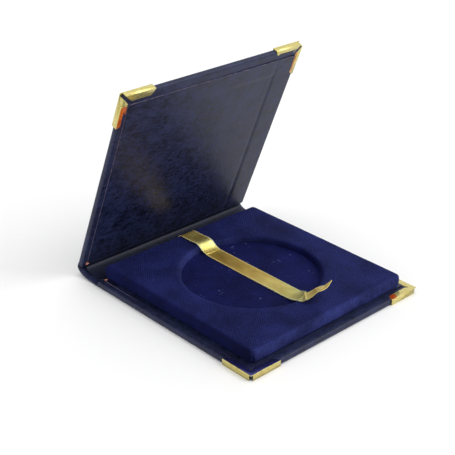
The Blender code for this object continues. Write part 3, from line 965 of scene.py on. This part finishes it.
# From behind the insert to the tail's crease: left edge (x, y, z), right edge (x, y, z).
RIBBON_ROUTE = (
    ((-3.4, 57.8, 4.6), (6.5, 57.8, 4.6)),
    ((-3.4, 58.0, 7.4), (6.5, 58.0, 7.4)),
    ((-3.4, 57.55, 10.05), (6.5, 57.55, 10.05)),
    ((-3.4, 56.0, 11.3), (6.5, 56.0, 11.3)),
    ((-3.4, 53.0, 11.45), (6.5, 53.0, 11.45)),
    ((-3.4, 49.0, 11.45), (6.5, 49.0, 11.45)),
    ((-3.4, 45.6, 11.65), (6.5, 45.6, 11.65)),
    ((-3.4, 43.4, 11.75), (6.5, 43.2, 11.75)),
    ((-3.4, 41.9, 11.5), (6.5, 41.6, 11.5)),
    ((-3.4, 40.5, 10.85), (6.5, 40.2, 10.9)),
    ((-3.4, 39.0, 9.9), (6.5, 38.7, 9.95)),
    ((-3.4, 37.3, 8.95), (6.5, 37.0, 8.95)),
    ((-3.4, 35.0, 8.3), (6.5, 34.8, 8.3)),
    ((-3.5, 31.0, 8.02), (6.5, 31.0, 8.02)),
    ((-3.6, 2.0, 7.95), (6.6, 2.0, 7.95)),
    ((-3.6, -18.0, 7.95), (6.6, -18.0, 8.0)),
    ((-3.7, -26.0, 8.1), (6.2, -26.0, 8.4)),
    ((-4.2, -31.5, 9.3), (5.4, -29.6, 9.9)),
    ((-4.9, -34.6, 10.6), (4.4, -31.7, 11.15)),
    ((-5.1, -37.0, 11.3), (3.6, -32.9, 11.45)),
    ((-4.9, -38.6, 12.0), (3.0, -32.6, 11.45)),
    ((-4.44, -39.5, 12.8), (2.38, -32.4, 11.4)),
)
# The tail starts two stations before its crease.
TAIL_SPLIT = len(RIBBON_ROUTE) - 3


def ribbon_loops(edges):
    """The ribbon's cross sections between pairs of edge points, and how far along each lies."""
    lefts = through([left for left, _ in edges], RIBBON_STEPS)
    rights = through([right for _, right in edges], RIBBON_STEPS)
    loops = []
    along = [0.0]
    for index, (left, right) in enumerate(zip(lefts, rights)):
        ahead = (lefts[min(index + 1, len(lefts) - 1)] - lefts[max(index - 1, 0)]).normalized()
        normal = (right - left).cross(ahead).normalized() * RIBBON_THICK / 2
        if index:
            step = ((left - lefts[index - 1]).length + (right - rights[index - 1]).length) / 2
            along.append(along[-1] + step)
        fullness = min(1.0, (right - left).length / (2 * RIBBON_HALF))
        loop = []
        for side, shares in ((1.0, RIBBON_SHARES), (-1.0, RIBBON_SHARES[::-1])):
            for share in shares:
                bead = 1.0 + 0.5 * smoothstep(0.42, 0.5, abs(share - 0.5))
                crown = 0.12 * math.sin(math.pi * share) * fullness
                loop.append(left.lerp(right, share) + normal * side * bead + normal.normalized() * crown)
        loops.append(loop)
    return loops, along


def ribbon_piece(name, loops, past_crease):
    """One part of the ribbon, with a UV map of the distance past the crease and the place across."""
    made = loft(name, loops, [MATERIALS["satin"]], sharp=60.0)
    layer = made.data.uv_layers.new(name="weave")
    count = len(loops[0])
    across = [share - 0.5 for share in RIBBON_SHARES + RIBBON_SHARES[::-1]]
    for corner in made.data.loops:
        row, column = divmod(corner.vertex_index, count)
        layer.data[corner.index].uv = (past_crease[row], across[column])
    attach(made, "base")
    return made


# The tail's way along and its way across, level and at right angles.
TAIL_RIGHT = Vector((0.723, -0.691, 0.0))
TAIL_AWAY = Vector((0.691, 0.723, 0.0))
TAIL_STATIONS = (
    # distance to the right, height above the crease, downward tilt across in degrees, and the
    # share of the half width that is left at the near and at the far side
    (1.2, 0.2, 12.0, 1.0, 1.0),
    (2.8, 1.2, 14.0, 1.0, 1.0),
    (4.2, 2.3, 16.5, 1.0, 1.0),
    (5.8, 3.8, 19.0, 1.0, 1.0),
    (7.8, 4.7, 18.5, 1.0, 1.0),
    (10.0, 5.4, 18.0, 0.5, 1.0),
    (11.6, 6.5, 16.0, 0.0, 1.0),
    (13.5, 8.0, 13.5, -0.97, 1.0),
)


def tail_edges():
    """The tail's left and right edge points, past the crease."""
    left, right = (Vector(point) for point in RIBBON_ROUTE[-1])
    start = (left + right) / 2
    edges = []
    for over, up, tilt, near, far in TAIL_STATIONS:
        centre = start + TAIL_RIGHT * over + Vector((0.0, 0.0, up))
        down = math.radians(tilt)
        across = (TAIL_AWAY * math.cos(down) - Vector((0.0, 0.0, math.sin(down)))) * RIBBON_HALF
        edges.append((centre - across * near, centre + across * far))
    return edges


def build_ribbon():
    loops, along = ribbon_loops([*RIBBON_ROUTE, *tail_edges()])
    crease = (len(RIBBON_ROUTE) - 1) * RIBBON_STEPS
    split = TAIL_SPLIT * RIBBON_STEPS
    past_crease = [distance - along[crease] for distance in along]
    band = ribbon_piece("ribbon_band", loops[: split + 1], past_crease[: split + 1])
    tail = ribbon_piece("ribbon_tail", loops[split:], past_crease[split:])
    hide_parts("ribbon")
    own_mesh(tail)


# The brass corners and the boards keep their CAD shape; the corners' bends are rounded.


LID_INWARDS = Vector((0.0, -math.sin(LID_ANGLE), math.cos(LID_ANGLE)))
UPWARDS = Vector((0.0, 0.0, 1.0))
# Tints on the brass: a dark and a light tone, and how metallic it is.
COPPER = ((0.42, 0.045, 0.003), (0.66, 0.15, 0.014), 0.25)
ORANGE_TINT = ((0.46, 0.16, 0.015), (0.68, 0.34, 0.05), 0.3)
# A painted reflection of the dark velvet insert on the upper plate of the base's left corner.
PAINTED_DARK_REFLECTION = ((0.03, 0.032, 0.15), (0.055, 0.055, 0.22), 0.7)
CORNER_BRASS = {
    "base_corner_left": brass(
        "brass_base_left",
        metallic=0.8,
        roughness=0.2,
        tint_patches=[(on_base(-60.0, PANEL_DEPTH, PANEL_THICKNESS), (24.0, 24.0, 2.0), UPWARDS, *PAINTED_DARK_REFLECTION)],
    ),
    "base_corner_right": brass(
        "brass_base_right",
        metallic=0.55,
        roughness=0.26,
        tint_patches=[(on_base(43.2, PANEL_DEPTH - 2.0, PANEL_THICKNESS), (3.2, 2.8, 2.0), UPWARDS, *COPPER)],
    ),
    "lid_corner_left": brass(
        "brass_lid_left",
        metallic=0.65,
        roughness=0.26,
        tint_patches=[(on_lid(-58.6, PANEL_DEPTH - 12.5, PANEL_THICKNESS), (3.5, 7.0, 7.0), LID_INWARDS, *COPPER)],
    ),
    "lid_corner_right": brass(
        "brass_lid_right",
        metallic=0.65,
        roughness=0.26,
        tint_patches=[
            (
                on_lid(57.7, PANEL_DEPTH - 12.0, PANEL_THICKNESS),
                (1.15, 9.5, 9.5),
                LID_INWARDS,
                *ORANGE_TINT,
            )
        ],
    ),
}
CORNER_ROUNDING = 0.14
CORNER_WELD = 0.01


def finish_corner(name):
    corner = frame["nodes"][name]
    corner.data.materials.clear()
    corner.data.materials.append(CORNER_BRASS[name])
    weld = corner.modifiers.new("weld", "WELD")
    weld.merge_threshold = CORNER_WELD * MM
    rounding = corner.modifiers.new("rounding", "BEVEL")
    rounding.width = CORNER_ROUNDING * MM
    rounding.segments = 2
    rounding.limit_method = "ANGLE"
    rounding.angle_limit = math.radians(40)
    corner.data.shade_smooth()
    corner.data.set_sharp_from_angle(angle=math.radians(35))


def finish_board(name):
    board = frame["nodes"][name]
    board.data.materials.clear()
    board.data.materials.append(MATERIALS["greyboard"])


# The floor, the light and the camera. Lengths are in metres from here on.


FLOOR_HALF_SIZE = 3.0
FLOOR_SEGMENTS = 8


def build_stage():
    bm = bmesh.new()
    bmesh.ops.create_grid(bm, x_segments=FLOOR_SEGMENTS, y_segments=FLOOR_SEGMENTS, size=FLOOR_HALF_SIZE)
    mesh = bpy.data.meshes.new("floor")
    bm.to_mesh(mesh)
    bm.free()
    floor = bpy.data.objects.new("floor", mesh)
    bpy.context.scene.collection.objects.link(floor)
    material, _, _ = shader_of("floor", Base_Color=(0.9, 0.9, 0.9), Roughness=0.9, Specular_IOR_Level=0.1)
    mesh.materials.append(material)


WORLD_STRENGTH = 0.97
KEY_PLACE = Vector((1.5, -1.5, 2.0))
KEY_TARGET = Vector((0.0, 0.0, 0.03))
KEY_SIZE = 1.6
KEY_POWER = 30.0


def build_lights():
    """An even white sky, and one large soft light from the upper right."""
    world = bpy.data.worlds.new("sky")
    bpy.context.scene.world = world
    world.use_nodes = True
    background = world.node_tree.nodes["Background"]
    background.inputs["Color"].default_value = (1.0, 1.0, 1.0, 1.0)
    background.inputs["Strength"].default_value = WORLD_STRENGTH
    data = bpy.data.lights.new("key", "AREA")
    data.shape = "SQUARE"
    data.size = KEY_SIZE
    data.energy = KEY_POWER
    light = bpy.data.objects.new("key", data)
    light.location = KEY_PLACE
    light.rotation_mode = "QUATERNION"
    light.rotation_quaternion = (KEY_TARGET - KEY_PLACE).to_track_quat("-Z", "Y")
    bpy.context.scene.collection.objects.link(light)
    bpy.context.scene.view_settings.view_transform = "Standard"


# The view: its way round from -Y and its rise and tilt in degrees, and what it looks at.
CAMERA_AZIMUTH = -43.696
CAMERA_ELEVATION = 27.177
CAMERA_ROLL = 0.89
CAMERA_TARGET = (-0.020725, 0.00024, 0.043823)
CAMERA_DISTANCE = 0.55836
CAMERA_LENS = 88.72
CAMERA_SENSOR = 36.0


def build_camera():
    turn = math.radians(CAMERA_AZIMUTH)
    rise = math.radians(CAMERA_ELEVATION)
    roll = math.radians(CAMERA_ROLL)
    back = Vector((math.sin(turn) * math.cos(rise), -math.cos(turn) * math.cos(rise), math.sin(rise)))
    right = Vector((math.cos(turn), math.sin(turn), 0.0))
    up = back.cross(right)
    rolled_right = right * math.cos(roll) + up * math.sin(roll)
    rolled_up = up * math.cos(roll) - right * math.sin(roll)
    data = bpy.data.cameras.new("camera")
    data.lens = CAMERA_LENS
    data.sensor_width = CAMERA_SENSOR
    data.clip_start = 0.01
    camera = bpy.data.objects.new("camera", data)
    rotation = Matrix((rolled_right, rolled_up, back)).transposed().to_4x4()
    place = Vector(CAMERA_TARGET) + back * CAMERA_DISTANCE
    camera.matrix_world = Matrix.Translation(place) @ rotation
    bpy.context.scene.collection.objects.link(camera)
    bpy.context.scene.camera = camera


# The whole case.


# Body, place, noise seed, where the lining starts, its edge's material and its tuft's place.
PANELS = (
    ("base", on_base, 11.0, 1.9, "base_cut_edge", (-55.6, 2.6)),
    ("lid", on_lid, 23.0, 2.0, "cut_edge", (-56.6, 2.4)),
)


def build_panels():
    for body, place, seed, start, edge, tuft_at in PANELS:
        cover = panel_cover(f"{body}_cover_skin", place, seed)
        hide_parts(f"{body}_cover")
        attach(cover, body)
        lining = panel_lining(f"{body}_lining_sheet", place, start, edge)
        tuft = fray(f"{body}_lining_fray", place, *tuft_at)
        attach(tuft, body)
        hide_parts(f"{body}_lining")
        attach(lining, body)


def main():
    build_camera()
    build_panels()
    for piece in build_spine_cover():
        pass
    for piece in build_spine_lining():
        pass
    build_spine_card()
    build_insert()
    build_well_floor()
    build_ribbon()
    for name in CORNER_BRASS:
        finish_corner(name)
    for name in ("base_board", "lid_board", "insert_base_board", "insert_ring_board", "well_floor_card"):
        finish_board(name)
    build_stage()
    build_lights()


main()
